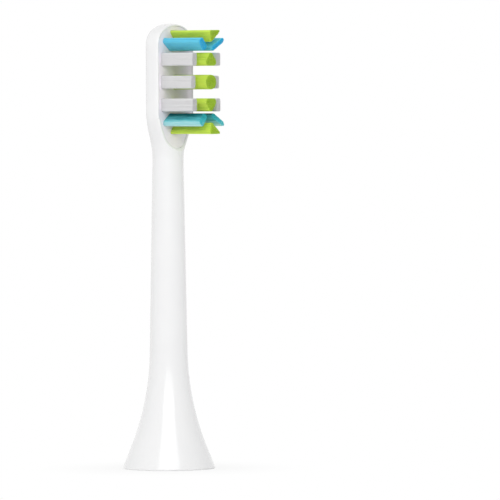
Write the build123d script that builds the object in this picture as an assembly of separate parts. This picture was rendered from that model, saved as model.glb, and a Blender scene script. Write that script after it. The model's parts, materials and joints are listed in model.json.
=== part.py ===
from build123d import *
import math
import os

# Electric toothbrush head. Sizes are in millimetres.
# The origin is the middle of the base rim. +Z runs up the neck, and the bristles point to -Y.

# Outside of the skirt and neck
skirt_radius = 8.1
skirt_edge_round = 0.2
knee_height = 11.6  # where the skirt's cone and the neck's taper would meet
knee_radius = 3.45
flare_radius = 46.0  # hollow arc that joins the cone to the taper
shoulder_length = 7.9
neck_tip_radius = 2.7

# Outside of the head
overall_height = 77.0
head_length = 23.3  # from the top down to where the neck starts to widen
head_width = 9.8
dome_rise = 3.5  # how much the top stands above the straight sides
head_squareness = 4.0  # power of the head's section: 2 is an oval, more is squarer
back_offset = 1.75  # from the neck's axis to the back of the head
face_offset = 1.83  # from the neck's axis to the flat face
widest_offset = 0.6  # from the neck's axis to the head's widest line, behind the face
heel_drop = 19.65  # from the top down to where the flat face ends and a scoop runs out to the neck's front
scoop_radius = 3.4
rim_width = 0.42
rim_edge = 0.2  # chamfer along the flat face, which fades out at the scoop

# Carrier plate and the space behind it
plate_recess = 0.1  # plate's face below the rim
plate_thickness = 1.0
plate_clearance = 0.03
ledge_width = 0.25
foot_space = 0.45

# Tufts
tuft_clearance = 0.03
foot_overhang = 0.14
foot_thickness = 0.33
pattern_drop = 10.1  # from the top down to the middle of the tuft pattern
row_pitch = 3.94
slab_spacing = 6.38  # between the middles of a row's two white tufts
slab_width = 1.2
slab_length = 2.24
slab_corner = 0.34
slab_tip_height = 6.65  # in the middle row; tip heights are above the face
slab_outer_rise = 0.3  # how much taller the outer rows' slabs are
oval_tuft_width = 2.85
oval_tuft_length = 2.5
drop_tuft_width = 2.75
drop_tuft_length = 2.24
drop_tuft_corner = 0.6
middle_tip_height = 8.0
bar_length = 2.95
bar_thickness = 1.05
bar_angle = 38.0
bar_spacing = 4.0  # between the middles of a pair
bar_reach = 6.5  # from the pattern's middle to a bar's middle
bar_tip_height = 7.85  # at the bar's middle
wedge_width = 2.6
wedge_length = 1.95
wedge_corner = 0.28
wedge_reach = 8.94  # from the pattern's middle to the wedge's outer edge
wedge_tip_height = 9.0  # at the wedge's outer edge
tip_slope = 0.46  # rise of the end tufts' tips towards the ends, for each millimetre

# Inside of the skirt and neck
collar_radius = 5.6
collar_depth = 3.0
hollow_height = 12.0  # where the skirt's hollow closes on the socket
mouth_chamfer = 0.3

# Drive socket
socket_clearance = 0.03
socket_mouth_height = 3.4
socket_step_height = 14.5
socket_top_height = 25.0
socket_top_gap = 0.3
socket_radius = 2.8
socket_tip_radius = 2.3
pilot_radius = 1.95
pilot_depth = 9.0
drive_radius = 1.6
drive_flat = 1.15  # from the axis to the flat
drive_depth = 11.4

# Grip spring
spring_width = 2.2
spring_length = 6.8
spring_thickness = 0.25
spring_bow = 0.55
spring_bite = 0.1  # how far the bow stands in past the flat
spring_side_clearance = 0.1
spring_end_clearance = 0.1
spring_window_height = 15.6

# Values worked out from the sizes above
shoulder_height = overall_height - head_length
face_heel_height = overall_height - heel_drop
pattern_height = overall_height - pattern_drop
head_radius = head_width / 2
dome_height = overall_height - dome_rise
shoulder_top = shoulder_height + shoulder_length
plate_back = plate_recess + plate_thickness
taper = (knee_radius - neck_tip_radius) / (shoulder_height - knee_height)

# Drawn on the flat face: x is X, y is the height, and extruding goes out towards the bristles' tips
face_plane = Plane(origin=(0, -face_offset, 0), x_dir=(1, 0, 0), z_dir=(0, -1, 0))
section_steps = 16
shoulder_steps = 7
outline_steps = 10


# Half width, reach behind and in front of the axis, place of the widest line in front of the axis, and power
def section_sizes(height):
    share = min(max((height - shoulder_height) / shoulder_length, 0), 1)
    share = share * share * (3 - 2 * share)
    radius = knee_radius - taper * (min(height, shoulder_top) - knee_height)
    half_width = radius + (head_radius - radius) * share
    back = radius + (back_offset - radius) * share
    return half_width, back, radius, widest_offset * share, 2 + (head_squareness - 2) * share


# Right half of the outside at a height, from the middle of the back to the middle of the front
def half_section(height):
    half_width, back, front, widest, power = section_sizes(height)
    points = [(0, back, height)]
    for step in range(1, section_steps):
        turn = math.pi * (0.5 - step / section_steps)
        side = half_width * math.cos(turn) ** (2 / power)
        depth = abs(math.sin(turn)) ** (2 / power)
        reach = (back + widest) * depth if turn > 0 else (widest - front) * depth
        points.append((side, reach - widest, height))
    points.append((0, -front, height))
    return Spline(*points, tangents=[(1, 0, 0), (-1, 0, 0)])


# Skirt and neck, round, up to the shoulder
def neck():
    side = FilletPolyline(
        (skirt_radius, 0), (knee_radius, knee_height), (neck_tip_radius, shoulder_height), radius=flare_radius
    )
    ends = Polyline(side @ 1, (0, shoulder_height), (0, 0), side @ 0)
    return revolve(Plane.XZ * make_face([side, ends]), Axis.Z)


# Shoulder from the neck's round tip, straight head, and the dome that closes the top
def head_pieces():
    tip = [CenterArc((0, 0), neck_tip_radius, start, -180) for start in (90, -90)]
    sections = [Pos(0, 0, shoulder_height) * make_face(tip)]
    for step in range(1, shoulder_steps + 1):
        right = half_section(shoulder_height + shoulder_length * step / shoulder_steps)
        sections.append(make_face([right, mirror(right, about=Plane.YZ)]))
    straight = extrude(sections[-1], dome_height - shoulder_top)
    right = half_section(dome_height)
    half = make_face([right, Line(right @ 1, right @ 0)])
    middle = (0, 0, dome_height)
    dome = revolve(half, Axis(middle, (0, -1, 0)), 180)
    dome = scale(dome, (1, 1, dome_rise / head_radius), about=middle)
    return [loft(sections), straight, dome]


# How far the scooped face stands in front of the neck's axis at a height
def face_depth(height):
    drop = min(max(face_heel_height - height, 0), scoop_radius)
    return face_offset + scoop_radius - math.sqrt(scoop_radius**2 - drop**2)


# Everything in front of the face, lowered into the head by a depth
def scoop(depth=0):
    far = scoop_radius + face_offset
    front = -face_offset + depth
    centre = (front - scoop_radius, face_heel_height)
    top = overall_height + head_width
    flat = Line((front, top), (front, face_heel_height))
    cove = CenterArc(centre, scoop_radius, 0, -90)
    rest = Polyline(cove @ 1, (front - far, (cove @ 1).Y), (front - far, top), flat @ 0)
    return extrude(Plane.YZ * make_face([flat, cove, rest]), amount=head_width, both=True)


# Half width of the face's outline at a height
def face_half_width(height):
    half_width, back, front, widest, power = section_sizes(height)
    share = min((face_depth(height) - widest) / (front - widest), 1)
    return half_width * (1 - max(share, 0) ** power) ** (1 / power)


# Lowest height of the face, where the scoop runs out
def face_tip_height():
    low, high = face_heel_height - scoop_radius, face_heel_height
    for step in range(50):
        middle = (low + high) / 2
        if face_depth(middle) > section_sizes(middle)[2]:
            low = middle
        else:
            high = middle
    return high


# Outline of the face, drawn in by an inset that is smaller by a fade below the flat part
def face_outline(inset, fade=0):
    tip = face_tip_height()
    heights = [
        tip + (shoulder_top - tip) * (1 - math.cos(math.pi / 2 * step / outline_steps))
        for step in range(outline_steps + 1)
    ]
    edge = [(face_half_width(height), height) for height in heights]
    points = [(0, tip + inset - fade)]
    for before, here, after in zip(edge, edge[1:], edge[2:]):
        along = Vector(after[0] - before[0], after[1] - before[1]).normalized()
        left = min((shoulder_top - here[1]) / (shoulder_top - face_heel_height), 1)
        step_in = inset - fade * left
        points.append((here[0] - along.Y * step_in, here[1] + along.X * step_in))
    points.append((head_radius - inset, shoulder_top))
    heel = Spline(*points, tangents=[(1, 0), (0, 1)])
    side = Line(heel @ 1, (head_radius - inset, dome_height))
    toe = EllipticalCenterArc((0, dome_height), head_radius - inset, dome_rise - inset)
    right = [heel, side, toe]
    return make_face(right + [mirror(edge, about=Plane.YZ) for edge in right])


# A prism on the face, from a depth behind it to a height in front of it
def on_face(outline, depth, height):
    return extrude(face_plane.offset(-depth) * outline, amount=depth + height)


def slab_outline(grow=0):
    return RectangleRounded(slab_width + 2 * grow, slab_length + 2 * grow, slab_corner + grow)


def oval_outline(grow=0):
    return Ellipse(oval_tuft_width / 2 + grow, oval_tuft_length / 2 + grow)


def bar_outline(grow=0):
    return SlotOverall(bar_length + 2 * grow, bar_thickness + 2 * grow)


# Triangle with rounded corners, wide edge below, its middle at the middle of its length
def triangle_outline(width, length, corner, grow):
    side = width / 2 - corner
    end = length / 2 - corner
    corners = [Pos(place) * Circle(corner + grow) for place in ((-side, -end), (side, -end), (0, end))]
    return make_hull(Sketch(corners).edges())


def drop_outline(grow=0):
    return triangle_outline(drop_tuft_width, drop_tuft_length, drop_tuft_corner, grow)


def wedge_outline(grow=0):
    return triangle_outline(wedge_width, wedge_length, wedge_corner, grow)


# Each tuft: its outline, its place on the face, its tip height there and how fast the tip rises with height
def tuft_pattern():
    pattern = {}
    for side, sign in (("left", -1), ("right", 1)):
        for row in (1, 2, 3):
            place = Pos(sign * slab_spacing / 2, pattern_height + (2 - row) * row_pitch)
            tip = slab_tip_height + slab_outer_rise * abs(row - 2)
            pattern[f"white_tuft_{row}_{side}"] = slab_outline, place, tip, 0
    for row, outline, turn in ((1, drop_outline, 0), (2, oval_outline, 0), (3, drop_outline, 180)):
        place = Pos(0, pattern_height + (2 - row) * row_pitch) * Rot(0, 0, turn)
        pattern[f"green_tuft_{row}"] = outline, place, middle_tip_height, 0
    for end, up in (("toe", 1), ("heel", -1)):
        for side, sign in (("left", -1), ("right", 1)):
            place = Pos(sign * bar_spacing / 2, pattern_height + up * bar_reach)
            place *= Rot(0, 0, sign * up * bar_angle)
            pattern[f"{end}_blue_tuft_{side}"] = bar_outline, place, bar_tip_height, up * tip_slope
        place = Pos(0, pattern_height + up * (wedge_reach - wedge_length / 2))
        place *= Rot(0, 0, 90 + up * 90)
        middle_tip = wedge_tip_height - tip_slope * wedge_length / 2
        pattern[f"{end}_green_tuft"] = wedge_outline, place, middle_tip, up * tip_slope
    return pattern


# One tuft, through its hole in the plate, with the fused foot behind the plate
def tuft(outline, place, tip_height, slope):
    stem = on_face(place * outline(), plate_back, 2 * tip_height)
    tip = Plane(
        origin=(0, -face_offset - tip_height, place.position.Y),
        x_dir=(1, 0, 0),
        z_dir=(0, -1, -slope),
    )
    stem = split(stem, tip, keep=Keep.BOTTOM)
    foot = on_face(place * outline(foot_overhang), plate_back + foot_thickness, -plate_back)
    return stem + foot


def carrier_plate():
    plate = on_face(face_outline(rim_width), plate_back, scoop_radius) - scoop(plate_recess)
    holes = [place * outline(tuft_clearance) for outline, place, tip_height, slope in tuft_pattern().values()]
    return plate - [on_face(hole, plate_back, scoop_radius) for hole in holes]


# The hollow from below: collar recess, cone up to the socket, then the socket's stepped seat
def neck_hollow():
    seat = socket_radius + socket_clearance
    tip_seat = socket_tip_radius + socket_clearance
    top = socket_top_height + socket_top_gap
    outline = Polyline(
        (0, 0),
        (collar_radius, 0),
        (collar_radius, collar_depth),
        (seat, hollow_height),
        (seat, socket_step_height),
        (tip_seat, socket_step_height),
        (tip_seat, top),
        (0, top),
        close=True,
    )
    return revolve(Plane.XZ * make_face(outline), Axis.Z)


# What the rim's chamfer takes off along the flat face
def rim_shaving():
    spare = 2 * rim_edge
    near = face_plane * face_outline(rim_edge, rim_edge)
    far = face_plane.offset(-rim_edge - spare) * face_outline(-spare, rim_edge)
    place = Pos(0, -face_offset, face_heel_height)
    low_corner = Align.CENTER, Align.MIN, Align.MIN
    slab = place * Box(2 * head_width, rim_edge + spare, overall_height, align=low_corner)
    return slab - loft([near, far], ruled=True)


def brush_body():
    body = neck() + head_pieces() - [scoop(), rim_shaving()]
    body = fillet(body.edges().group_by(Axis.Z)[0], skirt_edge_round)
    pocket = on_face(face_outline(rim_width - plate_clearance), plate_back, scoop_radius)
    behind = on_face(face_outline(rim_width + ledge_width), plate_back + foot_space, 0)
    body -= [pocket, behind, neck_hollow()]
    mouth = body.edges().group_by(Axis.Z)[0].sort_by(SortBy.RADIUS)[0]
    return chamfer(mouth, mouth_chamfer)


# Round outside with a step, a round pilot bore and a smaller D bore, and the spring's window in the flat
def drive_socket():
    pilot_top = socket_mouth_height + pilot_depth
    socket = Pos(0, 0, socket_mouth_height) * extrude(
        Circle(socket_radius), socket_step_height - socket_mouth_height
    )
    socket += Pos(0, 0, socket_step_height) * extrude(
        Circle(socket_tip_radius), socket_top_height - socket_step_height
    )
    socket -= Pos(0, 0, socket_mouth_height) * extrude(Circle(pilot_radius), pilot_depth)
    behind = Pos(0, drive_flat) * Rectangle(
        2 * drive_radius, 2 * drive_radius, align=(Align.CENTER, Align.MIN)
    )
    socket -= Pos(0, 0, pilot_top) * extrude(Circle(drive_radius) - behind, drive_depth)
    window = Box(
        spring_width + 2 * spring_side_clearance,
        2 * socket_radius,
        spring_length + 2 * spring_end_clearance,
        align=(Align.CENTER, Align.MIN, Align.MIN),
    )
    socket -= Pos(0, 0, spring_window_height) * window
    mouth = socket.edges().group_by(Axis.Z)[0]
    return chamfer(mouth, mouth_chamfer)


# Bowed leaf: its middle bites in past the flat, and its ends stand back in the window
def grip_spring():
    bottom = spring_window_height + spring_end_clearance
    middle = bottom + spring_length / 2
    top = bottom + spring_length
    inner = drive_flat - spring_bite
    near = ThreePointArc((inner + spring_bow, bottom), (inner, middle), (inner + spring_bow, top))
    far = ThreePointArc(
        (inner + spring_bow + spring_thickness, top),
        (inner + spring_thickness, middle),
        (inner + spring_bow + spring_thickness, bottom),
    )
    leaf = make_face([near, Line(near @ 1, far @ 0), far, Line(far @ 1, near @ 0)])
    return extrude(Plane.YZ * leaf, amount=spring_width / 2, both=True)


nodes = {
    "brush_body": brush_body(),
    "carrier_plate": carrier_plate(),
    "drive_socket": drive_socket(),
    "grip_spring": grip_spring(),
}
for name, (outline, place, tip_height, slope) in tuft_pattern().items():
    nodes[name] = tuft(outline, place, tip_height, slope)

os.makedirs("parts", exist_ok=True)
for name, solid in nodes.items():
    export_step(solid, f"parts/{name}.step")
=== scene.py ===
import json
import math
import random

import bpy
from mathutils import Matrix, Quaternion, Vector, kdtree


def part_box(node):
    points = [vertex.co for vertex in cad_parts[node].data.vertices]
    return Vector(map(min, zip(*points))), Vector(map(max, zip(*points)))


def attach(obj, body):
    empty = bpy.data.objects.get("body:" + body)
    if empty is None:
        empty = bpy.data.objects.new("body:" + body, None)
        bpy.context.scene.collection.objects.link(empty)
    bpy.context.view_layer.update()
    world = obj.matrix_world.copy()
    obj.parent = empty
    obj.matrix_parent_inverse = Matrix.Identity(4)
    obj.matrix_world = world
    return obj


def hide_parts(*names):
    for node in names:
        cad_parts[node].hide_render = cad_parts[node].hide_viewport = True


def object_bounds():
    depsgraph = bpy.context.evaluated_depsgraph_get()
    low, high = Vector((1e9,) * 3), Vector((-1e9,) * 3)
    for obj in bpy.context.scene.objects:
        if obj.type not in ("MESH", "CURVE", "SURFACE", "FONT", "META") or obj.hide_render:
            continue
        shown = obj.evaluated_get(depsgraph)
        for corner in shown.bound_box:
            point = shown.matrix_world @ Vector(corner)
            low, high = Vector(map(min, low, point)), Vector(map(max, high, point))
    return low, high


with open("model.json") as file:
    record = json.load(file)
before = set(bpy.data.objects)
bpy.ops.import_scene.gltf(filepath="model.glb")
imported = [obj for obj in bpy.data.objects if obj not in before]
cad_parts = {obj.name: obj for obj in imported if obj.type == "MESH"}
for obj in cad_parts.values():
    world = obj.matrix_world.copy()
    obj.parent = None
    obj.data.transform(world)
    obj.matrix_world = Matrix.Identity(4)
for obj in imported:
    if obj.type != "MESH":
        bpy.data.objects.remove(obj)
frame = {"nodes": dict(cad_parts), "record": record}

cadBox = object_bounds()
nodes = frame["nodes"]
mm = 0.001
slotOf = {part["node"]: part["material_slot"] for part in frame["record"]["subparts"]}
print("frame:", len(nodes), "nodes")


# Node helpers
noiseLook = {"roughness": 0.55, "middle": (0.3, 0.7)}  # noise lies in its middle part most of the time


def startMaterial(name):
    material = bpy.data.materials.new(name)
    material.use_nodes = True
    return material, material.node_tree, material.node_tree.nodes["Principled BSDF"]


def addNode(tree, kind, inputs=None, **settings):
    node = tree.nodes.new(kind)
    for key, value in settings.items():
        setattr(node, key, value)
    for key, value in (inputs or {}).items():
        node.inputs[key].default_value = value
    return node


def objectNoise(tree, grain, detail=2.0, stretch=(1, 1, 1)):  # grain is the size of one lump, in metres
    place = addNode(tree, "ShaderNodeTexCoord")
    turn = addNode(tree, "ShaderNodeMapping", {"Scale": [1 / (grain * s) for s in stretch]})
    noise = addNode(
        tree, "ShaderNodeTexNoise", {"Scale": 1.0, "Detail": detail, "Roughness": noiseLook["roughness"]}
    )
    tree.links.new(place.outputs["Object"], turn.inputs["Vector"])
    tree.links.new(turn.outputs["Vector"], noise.inputs["Vector"])
    return noise.outputs["Fac"]


def spread(tree, source, low, high):  # stretches the noise's middle part from low to high
    first, last = noiseLook["middle"]
    ramp = addNode(
        tree, "ShaderNodeMapRange", {"From Min": first, "From Max": last, "To Min": low, "To Max": high}
    )
    tree.links.new(source, ramp.inputs["Value"])
    return ramp.outputs["Result"]


def blend(tree, source, colours):  # colours evenly spaced from 0 to 1
    ramp = addNode(tree, "ShaderNodeValToRGB")
    stops = ramp.color_ramp.elements
    while len(stops) < len(colours):
        stops.new(1.0)
    for index, colour in enumerate(colours):
        stops[index].position = index / (len(colours) - 1)
        stops[index].color = (*colour, 1)
    tree.links.new(source, ramp.inputs["Fac"])
    return ramp.outputs["Color"]


def addBump(tree, shader, source, height, strength):
    bump = addNode(tree, "ShaderNodeBump", {"Strength": strength, "Distance": height})
    tree.links.new(source, bump.inputs["Height"])
    tree.links.new(bump.outputs["Normal"], shader.inputs["Normal"])


# Moulded plastic and steel
plastic = {"refraction": 1.5, "coatRoughness": 0.08, "detail": 3.0}


def mouldedPlastic(name, look):
    material, tree, shader = startMaterial(name)
    cloud = objectNoise(tree, look["cloud"])
    grain = objectNoise(tree, look["grain"], plastic["detail"])
    tone = blend(tree, spread(tree, cloud, 0, 1), (look["colour"], look["away"]))
    tree.links.new(tone, shader.inputs["Base Color"])
    tree.links.new(spread(tree, grain, *look["roughness"]), shader.inputs["Roughness"])
    addBump(tree, shader, grain, look["height"], look["strength"])
    shader.inputs["IOR"].default_value = plastic["refraction"]
    shader.inputs["Coat Weight"].default_value = look["coat"]
    shader.inputs["Coat Roughness"].default_value = plastic["coatRoughness"]
    return material


def rolledSteel(name, look):
    material, tree, shader = startMaterial(name)
    lines = objectNoise(tree, look["line"], look["detail"], look["stretch"])
    tone = blend(tree, spread(tree, lines, 0, 1), (look["colour"], look["away"]))
    tree.links.new(tone, shader.inputs["Base Color"])
    tree.links.new(spread(tree, lines, *look["roughness"]), shader.inputs["Roughness"])
    addBump(tree, shader, lines, look["height"], look["strength"])
    shader.inputs["Metallic"].default_value = 1.0
    return material


shellLook = {
    "colour": (0.87, 0.87, 0.872), "away": (0.85, 0.85, 0.855), "roughness": (0.16, 0.22), "coat": 0.7,
    "cloud": 9 * mm, "grain": 0.5 * mm, "height": 0.004 * mm, "strength": 0.25,
}
# the plate's slight lavender tint is painted to offset the green light that the tufts bounce onto it
plateLook = {
    "colour": (0.915, 0.87, 0.935), "away": (0.885, 0.84, 0.905), "roughness": (0.42, 0.55), "coat": 0.0,
    "cloud": 4 * mm, "grain": 0.12 * mm, "height": 0.008 * mm, "strength": 0.5,
}
socketLook = {
    "colour": (0.68, 0.68, 0.66), "away": (0.62, 0.62, 0.60), "roughness": (0.38, 0.5), "coat": 0.0,
    "cloud": 3 * mm, "grain": 0.15 * mm, "height": 0.006 * mm, "strength": 0.4,
}
springLook = {
    "colour": (0.62, 0.63, 0.64), "away": (0.5, 0.51, 0.53), "roughness": (0.22, 0.4),
    "line": 0.05 * mm, "stretch": (1, 1, 40), "detail": 3.0, "height": 0.002 * mm, "strength": 0.4,
}
cadFinish = {
    "brush_body": mouldedPlastic("whiteShell", shellLook),
    "carrier_plate": mouldedPlastic("greyPlate", plateLook),
    "drive_socket": mouldedPlastic("socketPlastic", socketLook),
    "grip_spring": rolledSteel("springSteel", springLook),
}
for nodeName, material in cadFinish.items():
    nodes[nodeName].data.materials.clear()
    nodes[nodeName].data.materials.append(material)
print("finishes:", ", ".join(cadFinish))


# Nylon filaments
streaks = {"width": 0.09 * mm, "stretch": (1, 30, 1), "detail": 2.0, "share": 0.4}
nylonRefraction = 1.53


def nylon(name, look):
    material, tree, shader = startMaterial(name)
    noise = objectNoise(tree, streaks["width"], streaks["detail"], streaks["stretch"])
    streak = spread(tree, noise, 0, streaks["share"])
    shade = addNode(tree, "ShaderNodeAttribute", attribute_name="shade")
    both = addNode(tree, "ShaderNodeMath", operation="ADD", use_clamp=True)
    tree.links.new(streak, both.inputs[0])
    tree.links.new(shade.outputs["Fac"], both.inputs[1])
    side = blend(tree, both.outputs[0], look["sides"])
    end = addNode(tree, "ShaderNodeAttribute", attribute_name="end")  # partly painted shade on the cut ends, partly light sinking into a cut end
    tone = addNode(tree, "ShaderNodeMix", data_type="RGBA")  # colours go in at 6 and 7 and out at 2
    tone.inputs[7].default_value = (*look["end"], 1)
    tree.links.new(end.outputs["Fac"], tone.inputs[0])
    tree.links.new(side, tone.inputs[6])
    tree.links.new(tone.outputs[2], shader.inputs["Base Color"])
    shader.inputs["Roughness"].default_value = look["roughness"]
    shader.inputs["IOR"].default_value = nylonRefraction
    shader.inputs["Specular IOR Level"].default_value = look["gloss"]
    glow = addNode(tree, "ShaderNodeBsdfTranslucent")
    tree.links.new(tone.outputs[2], glow.inputs["Color"])
    mix = addNode(tree, "ShaderNodeMixShader", {"Fac": look["glow"]})
    tree.links.new(shader.outputs[0], mix.inputs[1])
    tree.links.new(glow.outputs[0], mix.inputs[2])
    tree.links.new(mix.outputs[0], tree.nodes["Material Output"].inputs["Surface"])
    return material


# each end colour is darker than its sides: partly painted shade on the cut ends, partly light sinking
# into them
nylonLook = {
    "white_bristle": {
        "sides": ((0.86, 0.86, 0.865), (0.82, 0.82, 0.83)), "end": (0.63, 0.63, 0.64),
        "roughness": 0.35, "gloss": 0.5, "glow": 0.12,
    },
    "green_bristle": {
        "sides": ((0.83, 1.0, 0.14), (0.75, 0.98, 0.12)), "end": (0.34, 0.56, 0.0),
        "roughness": 0.3, "gloss": 0.5, "glow": 0.25,
    },
    "blue_bristle": {
        "sides": ((0.22, 0.82, 1.0), (0.17, 0.77, 1.0)), "end": (0.0, 0.52, 0.90),
        "roughness": 0.3, "gloss": 0.25, "glow": 0.25,
    },
    # the turquoise sides run by height from pale to dark teal: painted light on the lower side, painted
    # shade on the upper side
    "turquoise_bristle": {
        "sides": ((0.70, 1.0, 1.0), (0.15, 0.72, 0.80), (0.0, 0.20, 0.24)), "end": (0.03, 0.58, 0.62),
        "roughness": 0.3, "gloss": 0.2, "glow": 0.2, "fade": 1.0,
    },
}
nylonFinish = {slot: nylon(slot + "Nylon", look) for slot, look in nylonLook.items()}

filament = {
    "radius": 0.09 * mm, "pitch": 0.18 * mm, "sides": 8, "length": 1 * mm, "smooth": math.radians(60),
    "tipRound": 0.6, "endBand": 0.3,  # shares of the radius
    "tipSegments": 2, "uneven": 0.02 * mm, "edgeDrop": 0.02 * mm, "lean": math.radians(0.1),
    "shade": 0.6, "fadeScatter": 0.5, "seed": 11,
}
rings = {  # how the filaments stand in a tuft
    "cut": 1 * mm, "fine": 0.03 * mm, "step": 0.93 * filament["pitch"], "keep": 0.98, "rayStart": 1 * mm,
}
foot = {
    "cut": 0.001 * mm, "merge": 0.0005 * mm, "sink": 0.1 * mm, "shade": 0.5, "bevel": 0.07 * mm,
    "segments": 2, "flat": math.radians(2), "sharp": math.radians(50), "smooth": math.radians(40),
}
plateLow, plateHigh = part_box("carrier_plate")


def pickOnly(piece):
    bpy.ops.object.select_all(action="DESELECT")
    piece.select_set(True)
    bpy.context.view_layer.objects.active = piece


def modelFilament():  # stands along -Y with its root at the origin
    bpy.ops.object.select_all(action="DESELECT")
    length = filament["length"]
    bpy.ops.mesh.primitive_cylinder_add(
        vertices=filament["sides"], radius=filament["radius"], depth=length,
        location=(0, -length / 2, 0), rotation=(math.pi / 2, 0, 0),
    )
    bpy.ops.object.transform_apply(location=True, rotation=True, scale=True)
    stem = bpy.context.object
    bpy.ops.object.mode_set(mode="EDIT")
    bpy.ops.mesh.select_mode(type="FACE")
    bpy.ops.mesh.select_all(action="DESELECT")
    bpy.ops.object.mode_set(mode="OBJECT")
    for face in stem.data.polygons:
        face.select = face.normal.y < -0.9
    bpy.ops.object.mode_set(mode="EDIT")
    bpy.ops.mesh.region_to_loop()
    bpy.ops.mesh.bevel(
        offset=filament["radius"] * filament["tipRound"], segments=filament["tipSegments"], affect="EDGES"
    )
    bpy.ops.object.mode_set(mode="OBJECT")
    bpy.ops.object.shade_smooth_by_angle(angle=filament["smooth"])
    stem.data.attributes.new("shade", "FLOAT", "POINT")
    # the tip band takes the darker end colour: partly painted shade, partly light sinking into the cut
    # ends
    end = stem.data.attributes.new("end", "FLOAT", "POINT")
    for vertex in stem.data.vertices:
        end.data[vertex.index].value = vertex.co.y < -length + filament["radius"] * filament["endBand"]
    return stem


def copySolid(nodeName, pieceName):  # a copy of a tuft's solid with its loose triangles merged
    piece = bpy.data.objects.new(pieceName, nodes[nodeName].data.copy())
    bpy.context.scene.collection.objects.link(piece)
    pickOnly(piece)
    bpy.ops.object.mode_set(mode="EDIT")
    bpy.ops.mesh.select_all(action="SELECT")
    bpy.ops.mesh.remove_doubles(threshold=foot["merge"])
    return piece


def modelFoot(nodeName):  # the fused foot behind the plate
    piece = copySolid(nodeName, nodeName + "_bristles")
    bpy.ops.mesh.bisect(
        plane_co=(0, plateHigh.y + foot["cut"], 0), plane_no=(0, 1, 0), use_fill=True, clear_inner=True
    )
    bpy.ops.mesh.select_all(action="SELECT")
    bpy.ops.mesh.dissolve_limited(angle_limit=foot["flat"])
    bpy.ops.mesh.select_all(action="DESELECT")
    bpy.ops.mesh.edges_select_sharp(sharpness=foot["sharp"])
    bpy.ops.mesh.bevel(offset=foot["bevel"], segments=foot["segments"], affect="EDGES")
    bpy.ops.object.mode_set(mode="OBJECT")
    bpy.ops.object.shade_smooth_by_angle(angle=foot["smooth"])
    shade = piece.data.attributes.new("shade", "FLOAT", "POINT")
    shade.data.foreach_set("value", [foot["shade"]] * len(piece.data.vertices))
    piece.data.attributes.new("end", "FLOAT", "POINT")
    return piece


def tuftOutline(nodeName):  # the tuft's outline just in front of the plate, as points in order round it
    piece = copySolid(nodeName, "outline")
    bpy.ops.mesh.bisect(
        plane_co=(0, plateLow.y - rings["cut"], 0), plane_no=(0, 1, 0), clear_inner=True, clear_outer=True
    )
    bpy.ops.object.mode_set(mode="OBJECT")
    places = [(vertex.co.x, vertex.co.z) for vertex in piece.data.vertices]
    bpy.data.objects.remove(piece)
    middleX = sum(x for x, z in places) / len(places)
    middleZ = sum(z for x, z in places) / len(places)
    return sorted(places, key=lambda place: math.atan2(place[1] - middleZ, place[0] - middleX))


def fineOutline(outline):  # the same with points close together, so that insets keep its corners round
    fine = []
    for index in range(len(outline)):
        first, second = Vector(outline[index - 1]), Vector(outline[index])
        steps = max(1, math.ceil((second - first).length / rings["fine"]))
        fine += [tuple(first.lerp(second, step / steps)) for step in range(1, steps + 1)]
    return fine


def drawIn(outline, inset):  # the outline drawn in by an inset, without what passes beyond a corner
    edge = kdtree.KDTree(len(outline))
    for index, (x, z) in enumerate(outline):
        edge.insert((x, z, 0), index)
    edge.balance()
    inner = []
    for index, (x, z) in enumerate(outline):
        before, after = outline[index - 1], outline[(index + 1) % len(outline)]
        along = Vector((after[0] - before[0], after[1] - before[1])).normalized()
        place = (x - along.y * inset, z + along.x * inset, 0)
        if edge.find(place)[2] > inset * rings["keep"]:
            inner.append(place[:2])
    return inner


def evenly(ring, pitch):  # places a whole number of pitches apart along a closed ring
    sides = [(Vector(ring[i]) - Vector(ring[i - 1])).length for i in range(len(ring))]
    count = max(1, round(sum(sides) / pitch))
    gap = sum(sides) / count
    places, along = [], 0.0
    for index, side in enumerate(sides):
        first, second = Vector(ring[index - 1]), Vector(ring[index])
        while len(places) < count and len(places) * gap <= along + side:
            share = (len(places) * gap - along) / side if side else 0
            places.append(first.lerp(second, share))
        along += side
    return places


def standingPlaces(nodeName):  # rings of filaments that follow the tuft's outline inwards
    outline = fineOutline(tuftOutline(nodeName))
    inset, ring, places = filament["radius"], 0, []
    while True:
        path = drawIn(outline, inset)
        if len(path) < 3:
            return places
        places += [(place.x, place.y, ring) for place in evenly(path, filament["pitch"])]
        inset += rings["step"]
        ring += 1


def tipOf(solid, x, z):  # how far forward the tuft's solid reaches at a place
    found, place, normal, face = solid.ray_cast((x, cadBox[0].y - rings["rayStart"], z), (0, 1, 0))
    return place.y


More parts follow.
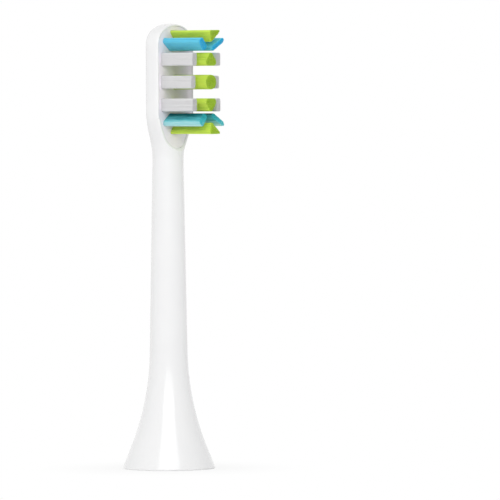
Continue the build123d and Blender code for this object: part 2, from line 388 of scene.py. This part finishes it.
def growTuft(nodeName, stem, chance):
    piece = modelFoot(nodeName)
    root = plateHigh.y + foot["sink"]
    look = nylonLook[slotOf[nodeName]]
    places = standingPlaces(nodeName)
    low, high = min(z for x, z, ring in places), max(z for x, z, ring in places)
    copies = []
    for x, z, ring in places:
        tip = tipOf(nodes[nodeName], x, z) + chance.uniform(0, filament["uneven"])
        if ring == 0:
            tip += filament["edgeDrop"]
        copy = bpy.data.objects.new("filament", stem.data.copy())
        for vertex in copy.data.vertices:
            if vertex.co.y < -filament["length"] / 2:
                vertex.co.y -= root - tip - filament["length"]
        tone = chance.uniform(0, filament["shade"])
        if "fade" in look:  # painted shade: darker towards the tuft's upper side, where the row above shades it
            scatter = filament["fadeScatter"] * (tone - filament["shade"])
            tone = look["fade"] * (z - low) / (high - low) + scatter
        copy.data.attributes["shade"].data.foreach_set("value", [tone] * len(copy.data.vertices))
        copy.location = (x, root, z)
        copy.rotation_euler = (chance.gauss(0, filament["lean"]), 0, chance.gauss(0, filament["lean"]))
        bpy.context.scene.collection.objects.link(copy)
        copies.append(copy)
    pickOnly(piece)
    for copy in copies:
        copy.select_set(True)
    bpy.ops.object.join()
    bpy.ops.object.transform_apply(location=True, rotation=True, scale=True)
    piece.data.materials.clear()
    piece.data.materials.append(nylonFinish[slotOf[nodeName]])
    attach(piece, "root")
    return piece, len(copies)


chance = random.Random(filament["seed"])
masterFilament = modelFilament()
tufts = [name for name in sorted(nodes) if name.endswith("tuft") or "_tuft_" in name]
for nodeName in tufts:
    piece, count = growTuft(nodeName, masterFilament, chance)
    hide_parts(nodeName)
    print("tuft:", nodeName, count, "filaments,", len(piece.data.polygons), "faces")
bpy.data.objects.remove(masterFilament)


# Camera, at the photograph's viewing angle
view = {
    "azimuth": math.radians(-50), "height": 64 * mm, "distance": 1100 * mm, "roll": math.radians(0.2),
    "sensor": 36.0, "imageSize": 500, "pixelsPerMm": 5.775, "axisColumn": 168.3, "baseRow": 468.3,
    "clipStart": 0.05,
}
middlePixel = view["imageSize"] / 2
ahead = Vector((-math.sin(view["azimuth"]), math.cos(view["azimuth"]), 0))
right = Vector((math.cos(view["azimuth"]), math.sin(view["azimuth"]), 0))
aim = right * (middlePixel - view["axisColumn"]) / view["pixelsPerMm"] * mm
aim.z = (view["baseRow"] - middlePixel) / view["pixelsPerMm"] * mm
bpy.ops.object.camera_add(location=-ahead * view["distance"] + Vector((0, 0, view["height"])))
camera = bpy.context.object
facing = (aim - camera.location).to_track_quat("-Z", "Y")
camera.rotation_euler = (facing @ Quaternion((0, 0, 1), -view["roll"])).to_euler()
camera.data.sensor_width = view["sensor"]
camera.data.lens = view["sensor"] * view["distance"] / (view["imageSize"] / view["pixelsPerMm"] * mm)
camera.data.clip_start = view["clipStart"]
bpy.context.scene.camera = camera


# Floor, sky and lamps
studio = {
    "floorSize": 3.0, "floorColour": (0.9, 0.9, 0.9), "floorRoughness": 0.9,
    "shadowReach": 0.026, "shadowShare": 0.28, "skyLight": 0.69, "skySkew": 0.2, "lampDistance": 0.6,
}
lamps = {  # turn is from the camera's side and rise from level, in degrees
    "frontSoftbox": {
        "shape": "RECTANGLE", "turn": 0, "rise": 30, "width": 0.55, "height": 0.32, "power": 0.95,
    },
    "lowSoftbox": {
        "shape": "ELLIPSE", "turn": 0, "rise": 16.5, "width": 0.56, "height": 0.26, "power": 0.46,
    },
}


def studioFloor():
    bpy.ops.object.select_all(action="DESELECT")
    bpy.ops.mesh.primitive_plane_add(size=studio["floorSize"], location=(0, 0, 0))
    floor = bpy.context.object
    floor.name = "floor"
    material, tree, shader = startMaterial("paleFloor")
    shader.inputs["Base Color"].default_value = (*studio["floorColour"], 1)
    shader.inputs["Roughness"].default_value = studio["floorRoughness"]
    white = addNode(tree, "ShaderNodeEmission", {"Color": (1, 1, 1, 1), "Strength": 1.0})
    place = addNode(tree, "ShaderNodeTexCoord")
    far = addNode(tree, "ShaderNodeVectorMath", operation="LENGTH")
    fade = addNode(
        tree, "ShaderNodeMapRange",
        {"From Max": studio["shadowReach"], "To Min": 1 - studio["shadowShare"], "To Max": 1.0},
        interpolation_type="SMOOTHSTEP",
    )
    path = addNode(tree, "ShaderNodeLightPath")
    seen = addNode(tree, "ShaderNodeMath", operation="MAXIMUM")
    share = addNode(tree, "ShaderNodeMath", operation="MULTIPLY")
    mix = addNode(tree, "ShaderNodeMixShader")
    tree.links.new(place.outputs["Object"], far.inputs[0])
    tree.links.new(far.outputs["Value"], fade.inputs["Value"])
    tree.links.new(path.outputs["Is Camera Ray"], seen.inputs[0])
    tree.links.new(path.outputs["Is Glossy Ray"], seen.inputs[1])
    tree.links.new(fade.outputs["Result"], share.inputs[0])
    tree.links.new(seen.outputs[0], share.inputs[1])
    tree.links.new(share.outputs[0], mix.inputs["Fac"])
    tree.links.new(shader.outputs[0], mix.inputs[1])
    tree.links.new(white.outputs[0], mix.inputs[2])
    tree.links.new(mix.outputs[0], tree.nodes["Material Output"].inputs["Surface"])
    floor.data.materials.append(material)


def studioSky():
    world = bpy.data.worlds.new("studioSky")
    bpy.context.scene.world = world
    world.use_nodes = True
    tree = world.node_tree
    dim = tree.nodes["Background"]
    dim.inputs["Color"].default_value = (1, 1, 1, 1)
    away = addNode(tree, "ShaderNodeTexCoord")
    side = addNode(tree, "ShaderNodeVectorMath", {1: -right * studio["skySkew"]}, operation="DOT_PRODUCT")
    level = addNode(
        tree, "ShaderNodeMath", {1: studio["skyLight"], 2: studio["skyLight"]}, operation="MULTIPLY_ADD"
    )
    tree.links.new(away.outputs["Generated"], side.inputs[0])
    tree.links.new(side.outputs["Value"], level.inputs[0])
    tree.links.new(level.outputs[0], dim.inputs["Strength"])
    white = addNode(tree, "ShaderNodeBackground", {"Color": (1, 1, 1, 1), "Strength": 1.0})
    path = addNode(tree, "ShaderNodeLightPath")
    first = addNode(tree, "ShaderNodeMath", operation="MAXIMUM")
    second = addNode(tree, "ShaderNodeMath", operation="MAXIMUM")
    mix = addNode(tree, "ShaderNodeMixShader")
    tree.links.new(path.outputs["Is Camera Ray"], first.inputs[0])
    tree.links.new(path.outputs["Is Glossy Ray"], first.inputs[1])
    tree.links.new(first.outputs[0], second.inputs[0])
    tree.links.new(path.outputs["Is Transmission Ray"], second.inputs[1])
    tree.links.new(second.outputs[0], mix.inputs["Fac"])
    tree.links.new(dim.outputs[0], mix.inputs[1])
    tree.links.new(white.outputs[0], mix.inputs[2])
    tree.links.new(mix.outputs[0], tree.nodes["World Output"].inputs["Surface"])


def softbox(name, values):
    angle = view["azimuth"] + math.radians(values["turn"])
    lift = math.radians(values["rise"])
    target = Vector((0, 0, (cadBox[0].z + cadBox[1].z) / 2))
    away = Vector((math.sin(angle) * math.cos(lift), -math.cos(angle) * math.cos(lift), math.sin(lift)))
    bpy.ops.object.light_add(type="AREA", location=target + away * studio["lampDistance"])
    lamp = bpy.context.object
    lamp.name = name
    lamp.rotation_euler = (-away).to_track_quat("-Z", "Y").to_euler()
    lamp.data.shape = values["shape"]
    lamp.data.size = values["width"]
    lamp.data.size_y = values["height"]
    lamp.data.energy = values["power"]


studioFloor()
studioSky()
for lampName, values in lamps.items():
    softbox(lampName, values)
bpy.context.scene.view_settings.view_transform = "Standard"
print("camera, floor and lamps ready")
